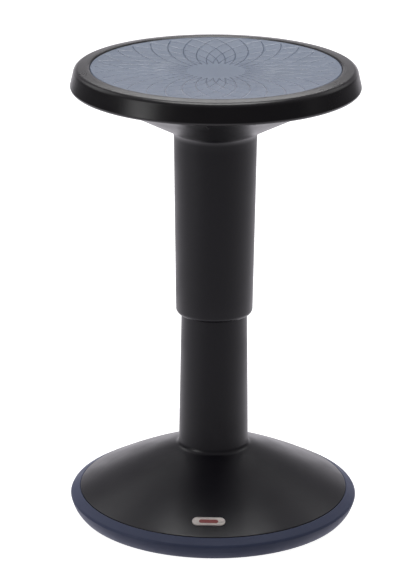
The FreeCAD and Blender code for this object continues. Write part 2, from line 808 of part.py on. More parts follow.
def make_seat_shell():
    """Upper sleeve and funnel in one trumpet moulding, screwed into the seat pan."""
    body = turned("seat_shell", [
        ("sleeve_bore", "sleeve_low + 0.6"),
        ("sleeve_radius - 3.2", "sleeve_low", "sleeve_lip_round", 1),
        ("sleeve_radius", "sleeve_lip"),
        ("neck_radius", "neck"),
        ("funnel_radius", "funnel_top"),
        ("flange_radius", "flange"),
        ("flange_radius", "flange + skin_rise - 0.2"),
        ("funnel_radius - 0.6", "funnel_top + skin_rise"),
        ("neck_radius - wall - 0.2", "neck + 1.75"),
    ], LEVER_TURN)
    round_edge(body, "neck_radius", "neck", "neck_fillet")
    cup = new_sketch(body, "cup", "XY_Plane", ("0", "0", "cup_top"), angle=30)
    draw_circle(cup, "shell_screw_circle", "0", "7")
    around(body, [pad(body, cup, downward=True)], 6)
    circle = "shell_screw_circle"
    holes(body, "recess", 6, circle, "4.6", "neck", "shell_screw_seat", 30)
    holes(body, "hole", 6, circle, "2.25", "shell_screw_seat", "cup_top", 30)
    slot = new_sketch(body, "slot", "XY_Plane", ("0", "0", "neck"))
    draw_outline(slot, box_points("slot_start", "slot_end", "- slot_half", "slot_half"))
    pocket(body, slot, "flange + skin_rise + 1 - neck", upward=True)
    head = ("7.6", "shell_screw_seat - 2.9", "shell_screw_seat - 0.1")
    shank = ("2", "shell_screw_seat - 0.1", "pan_deck - 2")
    screws("shell_screws", 6, circle, LEVER_TURN + 30, head, shank)


def make_seat_pad():
    """Dished soft pad, bonded into the pan's recess."""
    turned("seat_pad", [
        ("0", "pad_low"),
        ("pad_radius", "pad_low"),
        ("pad_radius", "pad_edge", "dish_radius", -1),
        ("0", "pad_edge - pad_dish"),
    ], LEVER_TURN)


def make_lever():
    """Release lever: its nose stands over the pin and its tail is moulded into the paddle."""
    body = new_body("release_lever", LEVER_TURN)
    sketch = new_sketch(body, "side", "XZ_Plane")
    draw_outline(sketch, [
        ("- 4", "pivot + 3.5", "4.6", 1),
        ("4", "pivot + 3.5"),
        ("pivot_reach - 10", "pivot + 2"),
        ("pivot_reach - 5", "pivot - 4.2"),
        ("119", "pivot - 4.2"),
        ("130", "pivot - 0.4"),
        ("130", "pivot + 3.2"),
        ("112", "pivot - 0.5"),
        ("74", "pivot - 0.5"),
        ("pivot_reach + 6", "pivot + 4.5"),
        ("pivot_reach - 8", "pivot + 7"),
        ("- 4", "pivot + 7"),
    ])
    draw_circle(sketch, "pivot_reach", "pivot", "pivot_radius + 0.06")
    pad(body, sketch, "lever_thick", midplane=True)

    body = new_body("lever_paddle", LEVER_TURN)
    sketch = new_sketch(body, "side", "XZ_Plane")
    draw_outline(sketch, [
        ("slot_start + 1.6", "509"),
        ("133.5", "518.9"),
        ("147", "522.2", "2.8", 1),
        ("146", "526.9"),
        ("131", "527.6"),
        ("slot_start + 1.6", "523.2"),
    ])
    pad(body, sketch, "paddle_width", midplane=True)
    tongue = new_sketch(body, "tongue", "XZ_Plane")
    draw_outline(tongue, [
        ("slot_start + 0.6", "pivot - 4.4"),
        ("119", "pivot - 4.4"),
        ("130.2", "pivot - 0.6"),
        ("130.2", "pivot + 3.45"),
        ("slot_start + 0.6", "pivot - 0.15"),
    ])
    pocket(body, tongue, "lever_thick + 0.2", midplane=True)


def make_pivot():
    """Headed pin through the ears, and the clip on its other end."""
    body = new_body("lever_pin", LEVER_TURN)
    head_side = "ear_gap + ear + 0.1"
    sketch = new_sketch(body, "shank", "XZ_Plane", ("0", "0", "- ear_gap - ear - 2"))
    draw_circle(sketch, "pivot_reach", "pivot", "pivot_radius - 0.02")
    pad(body, sketch, "ear_gap + ear + ear_gap + ear + 2.1")
    sketch = new_sketch(body, "head", "XZ_Plane", ("0", "0", head_side))
    draw_circle(sketch, "pivot_reach", "pivot", "pivot_radius + 1.5")
    pad(body, sketch, "1.6")
    body = new_body("pivot_clip", LEVER_TURN)
    sketch = new_sketch(body, "ring", "XZ_Plane", ("0", "0", "- ear_gap - ear - 1.1"))
    draw_circle(sketch, "pivot_reach", "pivot", "pivot_radius + 1.7")
    draw_circle(sketch, "pivot_reach", "pivot", "pivot_radius")
    pad(body, sketch, "1")


# ---------------------------------------------------------------- build and write

for make in (
    make_sole_pad,
    make_base_pan,
    make_base_ring,
    make_base_shell,
    make_hub,
    make_counterweight,
    make_base_screws,
    make_stand_tube,
    make_badge,
    make_bearing,
    make_piston_rod,
    make_piston,
    make_gas_cylinder,
    make_release_pin,
    make_seat_plate,
    make_plate_fasteners,
    make_seat_pan,
    make_seat_shell,
    make_seat_pad,
    make_lever,
    make_pivot,
):
    make()

doc.recompute()
for item in doc.Objects:
    if "Invalid" in item.State or "Error" in item.State:
        raise RuntimeError(f"{item.Name} did not compute")
for body in NODES:
    if body.Shape.isNull() or not body.Shape.isValid():
        raise RuntimeError(f"{body.Label} has no valid shape")
os.makedirs("parts", exist_ok=True)
for body in NODES:
    body.Shape.exportStep(f"parts/{body.Label}.step")
    print(body.Label, len(body.Shape.Solids), round(body.Shape.Volume))
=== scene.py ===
import json
import math

import bmesh
import bpy
from mathutils import Matrix, Vector


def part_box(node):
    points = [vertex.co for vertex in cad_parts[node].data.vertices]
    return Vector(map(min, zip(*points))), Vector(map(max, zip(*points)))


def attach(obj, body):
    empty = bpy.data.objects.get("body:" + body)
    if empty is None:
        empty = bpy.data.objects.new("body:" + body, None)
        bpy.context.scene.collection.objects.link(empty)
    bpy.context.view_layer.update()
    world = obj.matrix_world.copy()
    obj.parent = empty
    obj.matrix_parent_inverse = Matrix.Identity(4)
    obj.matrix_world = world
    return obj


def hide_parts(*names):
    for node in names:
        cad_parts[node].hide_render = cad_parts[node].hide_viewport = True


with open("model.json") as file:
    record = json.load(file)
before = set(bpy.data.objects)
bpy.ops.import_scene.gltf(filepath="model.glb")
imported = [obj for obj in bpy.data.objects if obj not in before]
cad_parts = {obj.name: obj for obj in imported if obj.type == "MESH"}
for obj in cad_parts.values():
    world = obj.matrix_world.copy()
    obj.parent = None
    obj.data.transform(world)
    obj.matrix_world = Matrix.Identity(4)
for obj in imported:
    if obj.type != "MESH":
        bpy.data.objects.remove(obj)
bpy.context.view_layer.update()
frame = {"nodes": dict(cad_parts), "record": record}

MM = 0.001
AROUND = 288  # steps round a turned piece

# ---------------------------------------------------------------- sizes, from the frame


def reach(node):
    """The largest radius of a node about the stool's axis, and its lowest and highest point."""
    low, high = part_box(node)
    return high.x, low.z, high.z


SOLE_RADIUS, FLOOR, SOLE_TOP = reach("sole_pad")
RING_RADIUS, _, RING_TOP = reach("base_ring")
DOME_RADIUS, DOME_LOW, COLUMN_TOP = reach("base_shell")
SHELL_RADIUS, SLEEVE_LOW, _ = reach("seat_shell")
RIM_RADIUS, _, RIM_TOP = reach("seat_pan")
PAD_RADIUS, PAD_LOW, PAD_TOP = reach("seat_pad")

RIM_FOOT = RIM_TOP - 25.7 * MM  # the rim's lower edge
ROCKING_RADIUS = 900 * MM  # of the underside the stool rocks on
FLAT_RADIUS = 25 * MM  # of the flat in its middle, where the stool stands
WALL = 3 * MM  # of the two columns
LEVER_TURN = math.radians(-100)  # where round the seat the release lever sits
BADGE_TURN = math.radians(-92.2)  # where round the dome the badge sits
BADGE_TILT = math.radians(27.5)  # slope of the dome under the badge


def rocking(radius):
    """Height of the rocking underside at a radius."""
    return (radius**2 - FLAT_RADIUS**2) / (2 * ROCKING_RADIUS)


# ---------------------------------------------------------------- outlines


def bow(start, end, radius, side, steps):
    """Points from start to just before end on an arc whose centre is on the left (1) or right (-1)."""
    a, b = Vector(start), Vector(end)
    chord = b - a
    normal = Vector((-chord.y, chord.x)).normalized() * side
    centre = (a + b) / 2 + normal * math.sqrt(radius**2 - (chord.length / 2) ** 2)
    first = math.atan2(a.y - centre.y, a.x - centre.x)
    sweep = math.atan2(b.y - centre.y, b.x - centre.x) - first
    sweep = (sweep + math.pi) % (2 * math.pi) - math.pi
    angles = [first + sweep * k / steps for k in range(steps)]
    return [(centre.x + radius * math.cos(t), centre.y + radius * math.sin(t), 0.0) for t in angles]


def soften(points, steps=6):
    """Rounds each corner of a closed outline. A point is (x, y, rounding), and rounding may be 0."""
    made = []
    for index, (x, y, rounding) in enumerate(points):
        here = Vector((x, y))
        if rounding <= 0:
            made.append(here)
            continue
        back = Vector(points[index - 1][:2]) - here
        ahead = Vector(points[(index + 1) % len(points)][:2]) - here
        opening = back.angle(ahead)
        cut = min(rounding / math.tan(opening / 2), 0.45 * back.length, 0.45 * ahead.length)
        a, b = here + back.normalized() * cut, here + ahead.normalized() * cut
        for k in range(steps + 1):
            t = k / steps
            made.append(a * (1 - t) ** 2 + here * (2 * t * (1 - t)) + b * t**2)
    return made


# ---------------------------------------------------------------- meshes


def new_piece(name, vertices, faces, materials, body, slot_name, stands_for):
    """A smooth piece that rides on a body and stands for CAD nodes."""
    mesh = bpy.data.meshes.new(name)
    mesh.from_pydata([tuple(v) for v in vertices], [], [tuple(f) for f in faces])
    mesh.validate()
    mesh.update()
    build = bmesh.new()
    build.from_mesh(mesh)
    bmesh.ops.recalc_face_normals(build, faces=build.faces)
    build.to_mesh(mesh)
    build.free()
    piece = bpy.data.objects.new(name, mesh)
    bpy.context.scene.collection.objects.link(piece)
    for material in materials:
        mesh.materials.append(material)
    smooth(mesh)
    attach(piece, body)
    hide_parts(*stands_for)
    return piece


def smooth(mesh, sharp=50):
    """Smooth shading, apart from edges that turn by more than so many degrees."""
    mesh.shade_smooth()
    mesh.set_sharp_from_angle(angle=math.radians(sharp))


def turned(outline, turn=0.0):
    """Vertices and faces of a closed outline of (radius, height) turned about Z, starting at an angle."""
    vertices, faces, rings = [], [], []
    for radius, height in outline:
        if radius < 1e-7:
            rings.append([len(vertices)] * AROUND)
            vertices.append((0, 0, height))
            continue
        rings.append(list(range(len(vertices), len(vertices) + AROUND)))
        for k in range(AROUND):
            angle = turn + 2 * math.pi * k / AROUND
            vertices.append((radius * math.cos(angle), radius * math.sin(angle), height))
    for index, ring in enumerate(rings):
        after = rings[(index + 1) % len(rings)]
        if ring[0] == ring[1] and after[0] == after[1]:
            continue
        for k in range(AROUND):
            m = (k + 1) % AROUND
            corners = [ring[k], ring[m], after[m], after[k]]
            faces.append(list(dict.fromkeys(corners)))
    return vertices, faces


def cut(piece, cutters, operation="DIFFERENCE"):
    """Cuts closed meshes out of a piece, or joins them to it, and keeps the result as its mesh."""
    for vertices, faces in cutters:
        mesh = bpy.data.meshes.new("cutter")
        mesh.from_pydata(vertices, [], faces)
        build = bmesh.new()
        build.from_mesh(mesh)
        bmesh.ops.recalc_face_normals(build, faces=build.faces)
        build.to_mesh(mesh)
        build.free()
        tool = bpy.data.objects.new("cutter", mesh)
        bpy.context.scene.collection.objects.link(tool)
        modifier = piece.modifiers.new("cut", "BOOLEAN")
        modifier.operation = operation
        modifier.solver = "EXACT"
        modifier.object = tool
        bpy.context.view_layer.update()
        graph = bpy.context.evaluated_depsgraph_get()
        result = bpy.data.meshes.new_from_object(piece.evaluated_get(graph))
        piece.modifiers.remove(modifier)
        old, piece.data = piece.data, result
        bpy.data.meshes.remove(old)
        bpy.data.objects.remove(tool)
        bpy.data.meshes.remove(mesh)
    smooth(piece.data, 35)


def prism(outline, low, high):
    """An upright prism. low is a height, or a function that gives the height at a point."""
    low_at = low if callable(low) else lambda p: low
    count = len(outline)
    vertices = [(p[0], p[1], low_at(p)) for p in outline] + [(p[0], p[1], high) for p in outline]
    faces = [list(range(count))[::-1], list(range(count, 2 * count))]
    faces += [[k, (k + 1) % count, count + (k + 1) % count, count + k] for k in range(count)]
    return vertices, faces


def disc(x, y, radius, count=40):
    """Outline of a circle."""
    turns = [2 * math.pi * k / count for k in range(count)]
    return [(x + radius * math.cos(t), y + radius * math.sin(t)) for t in turns]


def polar(radius, angle):
    """x and y of a radius and an angle."""
    return radius * math.cos(angle), radius * math.sin(angle)


# ---------------------------------------------------------------- materials


class Finish:
    """Builds one procedural material round a Principled shader."""

    def __init__(self, name):
        self.material = bpy.data.materials.new(name)
        self.material.use_nodes = True
        self.tree = self.material.node_tree
        self.shader = self.tree.nodes["Principled BSDF"]
        self.place = self.tree.nodes.new("ShaderNodeTexCoord").outputs["Object"]

    def set(self, **values):
        for key, value in values.items():
            self.shader.inputs[key.replace("_", " ")].default_value = value

    def node(self, kind, inputs=None, **settings):
        node = self.tree.nodes.new(kind)
        for key, value in settings.items():
            setattr(node, key, value)
        for key, value in (inputs or {}).items():
            if isinstance(value, bpy.types.NodeSocket):
                self.tree.links.new(value, node.inputs[key])
            else:
                node.inputs[key].default_value = value
        return node

    def noise(self, scale, detail=4.0, roughness=0.55, stretch=None):
        place = self.place
        if stretch:
            place = self.node("ShaderNodeMapping", {"Vector": place, "Scale": stretch}).outputs[0]
        inputs = {"Vector": place, "Scale": scale, "Detail": detail, "Roughness": roughness}
        return self.node("ShaderNodeTexNoise", inputs).outputs["Fac"]

    def spread(self, value, low, high, from_low=0.3, from_high=0.7):
        inputs = {"Value": value, "From Min": from_low, "From Max": from_high, "To Min": low, "To Max": high}
        return self.node("ShaderNodeMapRange", inputs).outputs[0]

    def mix(self, amount, low, high):
        node = self.node("ShaderNodeMix", data_type="RGBA")
        for socket, value in ((node.inputs[0], amount), (node.inputs[6], low), (node.inputs[7], high)):
            if isinstance(value, bpy.types.NodeSocket):
                self.tree.links.new(value, socket)
            else:
                socket.default_value = value
        return node.outputs[2]

    def edges(self, low, high):
        """How much a point lies on an outer edge."""
        pointiness = self.node("ShaderNodeNewGeometry").outputs["Pointiness"]
        return self.spread(pointiness, 0.0, 1.0, low, high)

    def link(self, value, name):
        self.tree.links.new(value, self.shader.inputs[name])

    def bump(self, layers):
        """Adds fine relief. A layer is (height, strength, distance in metres)."""
        normal = None
        for height, strength, distance in layers:
            inputs = {"Height": height, "Strength": strength, "Distance": distance}
            if normal:
                inputs["Normal"] = normal
            normal = self.node("ShaderNodeBump", inputs).outputs[0]
        self.link(normal, "Normal")


def tint(colour, factor):
    """A colour made darker or lighter, with full alpha."""
    return tuple(min(1.0, c * factor) for c in colour) + (1.0,)


def plastic(name, colour, rough, grain=1400, relief=0.12, level=0.5, worn=1.6):
    """Satin moulded plastic: fine spark-eroded grain, faint flow shading, and paler rubbed edges."""
    finish = Finish(name)
    cloudy = finish.noise(9.0, 3.0)
    body = finish.mix(finish.spread(cloudy, 0, 1), tint(colour, 0.86), tint(colour, 1.16))
    edges = finish.edges(0.53, 0.62)
    rubbed = finish.node("ShaderNodeMath", {0: edges, 1: finish.noise(60.0)}, operation="MULTIPLY")
    finish.link(finish.mix(rubbed.outputs[0], body, tint(colour, worn)), "Base Color")
    finish.set(Metallic=0.0, IOR=1.5, Specular_IOR_Level=level)
    smudge = finish.noise(26.0, 6.0, 0.6)
    finish.link(finish.spread(smudge, rough - 0.04, rough + 0.05), "Roughness")
    fine = finish.noise(grain, 2.0, 0.5)
    broad = finish.noise(45.0, 2.0, 0.5)
    finish.bump([(broad, 0.03, 0.0012), (fine, relief, 0.00025)])
    return finish.material


def rubber(name, colour, rough, grain=900, relief=0.2, level=0.35, sheen=0.25, sheen_tint=None):
    """Soft matt rubber or skinned foam: dry bloom, fine pores and a little sheen."""
    finish = Finish(name)
    bloom = finish.noise(14.0, 5.0, 0.6)
    speck = finish.noise(700.0, 2.0)
    body = finish.mix(finish.spread(bloom, 0, 1), tint(colour, 0.93), tint(colour, 1.07))
    amount = finish.spread(speck, 0.0, 0.35, 0.45, 0.75)
    finish.link(finish.mix(amount, body, tint(colour, 0.82)), "Base Color")
    finish.set(Metallic=0.0, IOR=1.5, Specular_IOR_Level=level)
    finish.set(Sheen_Weight=sheen, Sheen_Roughness=0.5)
    finish.shader.inputs["Sheen Tint"].default_value = sheen_tint or tint(colour, 1.5)
    finish.link(finish.spread(finish.noise(32.0, 5.0), rough - 0.05, rough + 0.06), "Roughness")
    cells = finish.node("ShaderNodeTexVoronoi", {"Vector": finish.place, "Scale": grain})
    finish.bump([(bloom, 0.04, 0.001), (cells.outputs["Distance"], relief, 0.0002)])
    return finish.material


def metal(name, colour, rough, brushed=(1.0, 1.0, 14.0), grain=260, relief=0.08):
    """Bare or plated metal with drawn or turned lines and dulled patches."""
    finish = Finish(name)
    lines = finish.noise(grain, 4.0, 0.6, brushed)
    patch = finish.noise(35.0, 4.0)
    body = finish.mix(finish.spread(patch, 0, 1), tint(colour, 0.85), tint(colour, 1.1))
    finish.link(body, "Base Color")
    finish.set(Metallic=1.0)
    finish.link(finish.spread(lines, rough - 0.06, rough + 0.1), "Roughness")
    finish.bump([(lines, relief, 0.0002)])
    return finish.material


def cast(name, colour, rough):
    """Sand-cast iron with a dull paint skin."""
    finish = Finish(name)
    sand = finish.noise(420.0, 6.0, 0.7)
    body = finish.mix(finish.spread(sand, 0, 1), tint(colour, 0.75), tint(colour, 1.3))
    finish.link(body, "Base Color")
    finish.set(Metallic=0.35)
    finish.link(finish.spread(sand, rough - 0.08, rough + 0.1), "Roughness")
    finish.bump([(sand, 0.5, 0.0006)])
    return finish.material


PLASTIC = plastic("shell_plastic", (0.0054, 0.0048, 0.0082), 0.34)
RIM = plastic("rim_plastic", (0.0058, 0.0048, 0.0060), 0.30, relief=0.10, level=0.43)
PAN = plastic("pan_plastic", (0.020, 0.020, 0.022), 0.46, relief=0.2)
PADDLE = plastic("paddle_plastic", (0.0070, 0.0065, 0.0080), 0.36)
PAD = rubber("pad_rubber", (0.104, 0.136, 0.196), 0.33, level=0.5, sheen=0.08)
# Groove finish: glossier than the pad, and a darker colour that is painted shade in the sunk grooves
SHADED_PAD_GROOVE = rubber("shaded_pad_groove", (0.066, 0.092, 0.140), 0.15, grain=1500, relief=0.05, level=0.6,
                    sheen=0.0)
RING = rubber("ring_rubber", (0.044, 0.054, 0.100), 0.48, relief=0.12, level=0.2, sheen=0.6,
              sheen_tint=(0.42, 0.45, 0.62, 1))
SOLE = rubber("sole_rubber", (0.016, 0.016, 0.018), 0.66)
SEAL = rubber("inner_rubber", (0.014, 0.014, 0.015), 0.6)
BADGE = metal("badge_metal", (0.74, 0.68, 0.64), 0.40, brushed=(12.0, 1.0, 1.0))
BADGE_INLAY = plastic("badge_inlay", (0.30, 0.075, 0.070), 0.35, worn=1.1)
FINISHES = {
    "shell_plastic": PLASTIC,
    "rim_plastic": RIM,
    "pan_plastic": PAN,
    "paddle_plastic": PADDLE,
    "pad_rubber": PAD,
    "ring_rubber": RING,
    "sole_rubber": SOLE,
    "inner_rubber": SEAL,
    "badge_metal": BADGE,
    "nylon": plastic("nylon", (0.55, 0.54, 0.50), 0.42),
    "aluminium": metal("aluminium", (0.72, 0.73, 0.75), 0.30),
    "cast_iron": cast("cast_iron", (0.045, 0.045, 0.048), 0.62),
    "black_steel": metal("black_steel", (0.035, 0.035, 0.038), 0.38),
    "zinc_steel": metal("zinc_steel", (0.58, 0.59, 0.60), 0.32),
    "chrome": metal("chrome", (0.78, 0.78, 0.80), 0.14, relief=0.02),
    "brass": metal("brass", (0.66, 0.49, 0.22), 0.30),
}


# ---------------------------------------------------------------- base


def make_sole():
    """Rubber disc under the middle of the base."""
    edge = (SOLE_RADIUS, rocking(SOLE_RADIUS), 0.7 * MM)
    outline = [(0, FLOOR, 0)]
    outline += bow((FLAT_RADIUS, FLOOR), edge[:2], ROCKING_RADIUS, 1, 12)
    outline += [edge, (SOLE_RADIUS, SOLE_TOP, 0.4 * MM), (0, SOLE_TOP, 0)]
    new_piece("sole_disc", *turned(soften(outline)), [SOLE], "base", "sole_rubber", ["sole_pad"])


def make_ring():
    """Rubber bumper ring, with the shallow ledge that splits its side into two bands."""
    pan_edge = 116 * MM  # where the rocking underside passes from the base pan to the ring
    inner, mid, foot = 116.2 * MM, 150 * MM, 161.2 * MM
    seat = DOME_RADIUS + 0.2 * MM  # the dome stands in the ring
    widest = RING_TOP - 8 * MM  # height of the widest point, just under the ledge
    outline = bow((inner, rocking(pan_edge)), (mid, rocking(mid)), ROCKING_RADIUS, 1, 10)
    outline += [(mid, rocking(mid), 3 * MM)]
    outline += bow((foot, 15.6 * MM), (RING_RADIUS, widest), 34 * MM, 1, 14)
    outline += [
        (RING_RADIUS, widest, 1.2 * MM),
        (RING_RADIUS - 1.3 * MM, widest + 2.5 * MM, 1.5 * MM),
        (DOME_RADIUS + 1.1 * MM, RING_TOP, 0.9 * MM),
        (seat, RING_TOP - 0.6 * MM, 0.2 * MM),
        (seat, 23.3 * MM, 0.3 * MM),
        (mid, 16.8 * MM, 0.3 * MM),
        (inner, 11.4 * MM, 0.3 * MM),
    ]
    new_piece("bumper_ring", *turned(soften(outline)), [RING], "base", "ring_rubber", ["base_ring"])


def make_dome():
    """Dome and lower column, one smooth trumpet."""
    foot, foot_height = 40.9 * MM, 94.6 * MM
    top = 37 * MM
    bulge = 790 * MM
    rim = (DOME_RADIUS, 40.5 * MM)
    inner_rim = (DOME_RADIUS - 3.4 * MM, 38.9 * MM)
    inner_foot = (foot - WALL, 92.5 * MM)
    steps = 12
    outline = [(inner_rim[0], DOME_LOW, 0), (DOME_RADIUS, DOME_LOW, 0.3 * MM)]
    outline += [(*rim, 0.8 * MM)]
    outline += bow(rim, (foot, foot_height), bulge, 1, 60)[1:-4]
    outline += [(foot, foot_height, 7 * MM)]
    for k in range(1, steps):
        radius = foot + (top - foot) * k / steps
        outline.append((radius, foot_height + (COLUMN_TOP - foot_height) * k / steps, 0))
    outline += [(top, COLUMN_TOP, 0.8 * MM), (top - WALL, COLUMN_TOP, 0.8 * MM), (*inner_foot, 2 * MM)]
    outline += bow(inner_foot, inner_rim, bulge - WALL, -1, 30)[1:]
    outline += [(*inner_rim, 0)]
    new_piece("base_trumpet", *turned(soften(outline)), [PLASTIC], "base", "shell_plastic", ["base_shell"])


def stadium(half_length, half_width, count=14):
    """Outline of a pill, centred on the origin."""
    points = []
    for side in (1, -1):
        for k in range(count + 1):
            angle = -math.pi / 2 + math.pi * k / count
            x = half_length - half_width + half_width * math.cos(angle)
            points.append((side * x, side * half_width * math.sin(angle)))
    return points


def make_badge():
    """Plain metal badge: a domed rim round a sunk field with a coloured bar, and no mark or lettering."""
    low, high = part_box("badge")
    middle = (low + high) / 2
    out = Vector((math.cos(BADGE_TURN), math.sin(BADGE_TURN), 0))
    across = Vector((-math.sin(BADGE_TURN), math.cos(BADGE_TURN), 0))
    normal = (out * math.sin(BADGE_TILT) + Vector((0, 0, 1)) * math.cos(BADGE_TILT)).normalized()
    up = normal.cross(across).normalized()
    top = 0.6 * MM

    def pill(name, half_length, half_width, levels, material):
        """A stack of pill outlines, each (inset, height), closed at both ends."""
        vertices, faces = [], []
        for inset, height in levels:
            for x, y in stadium(half_length - inset, half_width - inset):
                vertices.append(middle + across * x + up * y + normal * height)
        count = len(stadium(half_length, half_width))
        for level in range(len(levels) - 1):
            for k in range(count):
                a, b = level * count + k, level * count + (k + 1) % count
                faces.append((a, b, b + count, a + count))
        faces.append(tuple(range(count))[::-1])
        faces.append(tuple(range(len(vertices) - count, len(vertices))))
        new_piece(name, vertices, faces, [material], "base", "badge_metal", ["badge"])

    rim = [
        (0.0, -top), (0.0, 0.2 * MM), (0.12 * MM, 0.42 * MM), (0.4 * MM, top), (0.8 * MM, top),
        (1.0 * MM, 0.45 * MM), (1.15 * MM, 0.32 * MM), (1.6 * MM, 0.3 * MM), (4.0 * MM, 0.3 * MM),
    ]
    pill("badge_plate", 19 * MM, 6 * MM, rim, BADGE)
    bar = [(0.0, 0.2 * MM), (0.0, 0.36 * MM), (0.15 * MM, 0.46 * MM), (1.2 * MM, 0.48 * MM)]
    pill("badge_bar", 11 * MM, 2.6 * MM, bar, BADGE_INLAY)


# ---------------------------------------------------------------- seat


def make_upper():
    """Sleeve and funnel, with the screw recesses and the slot for the paddle."""
    bore, lip, neck = 41.2 * MM, 44.7 * MM, 47.8 * MM
    lip_top, neck_height = SLEEVE_LOW + 5 * MM, 476 * MM
    funnel, funnel_height = 134 * MM, 520.2 * MM
    skin = 3.3 * MM
    flange = 526.2 * MM
    outline = [(bore, SLEEVE_LOW + 0.6 * MM, 0.3 * MM)]
    outline += bow((lip - 3.2 * MM, SLEEVE_LOW), (lip, lip_top), 5.5 * MM, 1, 8)
    steps = 14
    for k in range(steps):
        radius = lip + (neck - lip) * k / steps
        outline.append((radius, lip_top + (neck_height - lip_top) * k / steps, 0))
    outline += [
        (neck, neck_height, 10 * MM),
        (neck + (funnel - neck) * 0.5, neck_height + (funnel_height - neck_height) * 0.5, 0),
        (funnel, funnel_height, 30 * MM),
        (SHELL_RADIUS, flange, 0.8 * MM),
        (SHELL_RADIUS, flange + skin - 0.2 * MM, 0.5 * MM),
        (funnel - 0.6 * MM, funnel_height + skin, 3 * MM),
        (neck - WALL - 0.2 * MM, neck_height + 1.75 * MM, 0),
        (bore, neck_height, 0),
        (bore, neck_height - 60 * MM, 0),
    ]
    vertices, faces = turned(soften(outline), LEVER_TURN)
    piece = new_piece("seat_trumpet", vertices, faces, [PLASTIC], "seat", "shell_plastic", ["seat_shell"])

    slope = (funnel_height - neck_height) / (funnel - neck)

    def mid_wall(point):
        """Height of the middle of the funnel's wall."""
        radius = math.hypot(point[0], point[1])
        return funnel_height + (radius - funnel) * slope + skin / 2

    screw_circle, boss, recess = 128 * MM, 7 * MM, 4.6 * MM
    boss_top, recess_top, slot_top = 527 * MM, 523.5 * MM, 529 * MM
    places = [polar(screw_circle, LEVER_TURN + math.radians(30 + 60 * k)) for k in range(6)]
    cut(piece, [prism(disc(x, y, boss), mid_wall, boss_top) for x, y in places], "UNION")
    cut(piece, [prism(disc(x, y, recess), neck_height, recess_top) for x, y in places])
    along, side = Vector(polar(1, LEVER_TURN)), Vector(polar(1, LEVER_TURN + math.pi / 2))
    start, end, half = 112 * MM, 149 * MM, 13 * MM
    corners = [(start, -half, 3 * MM), (end, -half, 3 * MM), (end, half, 3 * MM), (start, half, 3 * MM)]
    slot = [tuple(along * p.x + side * p.y) for p in soften(corners)]
    cut(piece, [prism(slot, neck_height, slot_top)])


def make_rim():
    """Hollow rim and deck of the seat pan."""
    recess, skirt = 143.3 * MM, 159.6 * MM
    deck_low, deck = PAD_LOW - 4 * MM, PAD_LOW - 0.1 * MM
    wall = recess + 3.5 * MM
    outline = [
        (0, deck_low, 0),
        (wall, deck_low, 0.5 * MM),
        (wall, RIM_TOP - 3.8 * MM, 1 * MM),
        (154.5 * MM, RIM_TOP - 4.2 * MM, 2 * MM),
        (158.6 * MM, RIM_TOP - 7.5 * MM, 2 * MM),
        (160.2 * MM, RIM_TOP - 18 * MM, 2 * MM),
        (skirt, RIM_TOP - 21.2 * MM, 1 * MM),
        (skirt, RIM_FOOT + 1.1 * MM, 0.5 * MM),
    ]
    foot, widest = (162.4 * MM, RIM_FOOT), (RIM_RADIUS, RIM_TOP - 22 * MM)
    outline += [(*foot, 0)] + bow(foot, widest, 4 * MM, 1, 8)[1:]
    waist, shoulder = (162 * MM, RIM_TOP - 6.8 * MM), (156.5 * MM, RIM_TOP - 1 * MM)
    outline += [(*widest, 0.6 * MM)] + bow(waist, shoulder, 6.5 * MM, 1, 12)
    outline += [
        (*shoulder, 1.5 * MM),
        (148 * MM, RIM_TOP, 3 * MM),
        (145 * MM, RIM_TOP - 0.1 * MM, 1.6 * MM),
        (recess, RIM_TOP - 1.4 * MM, 0.8 * MM),
        (recess, deck, 0.3 * MM),
        (0, deck, 0),
    ]
    new_piece("seat_rim", *turned(soften(outline)), [RIM], "seat", "rim_plastic", ["seat_pan"])


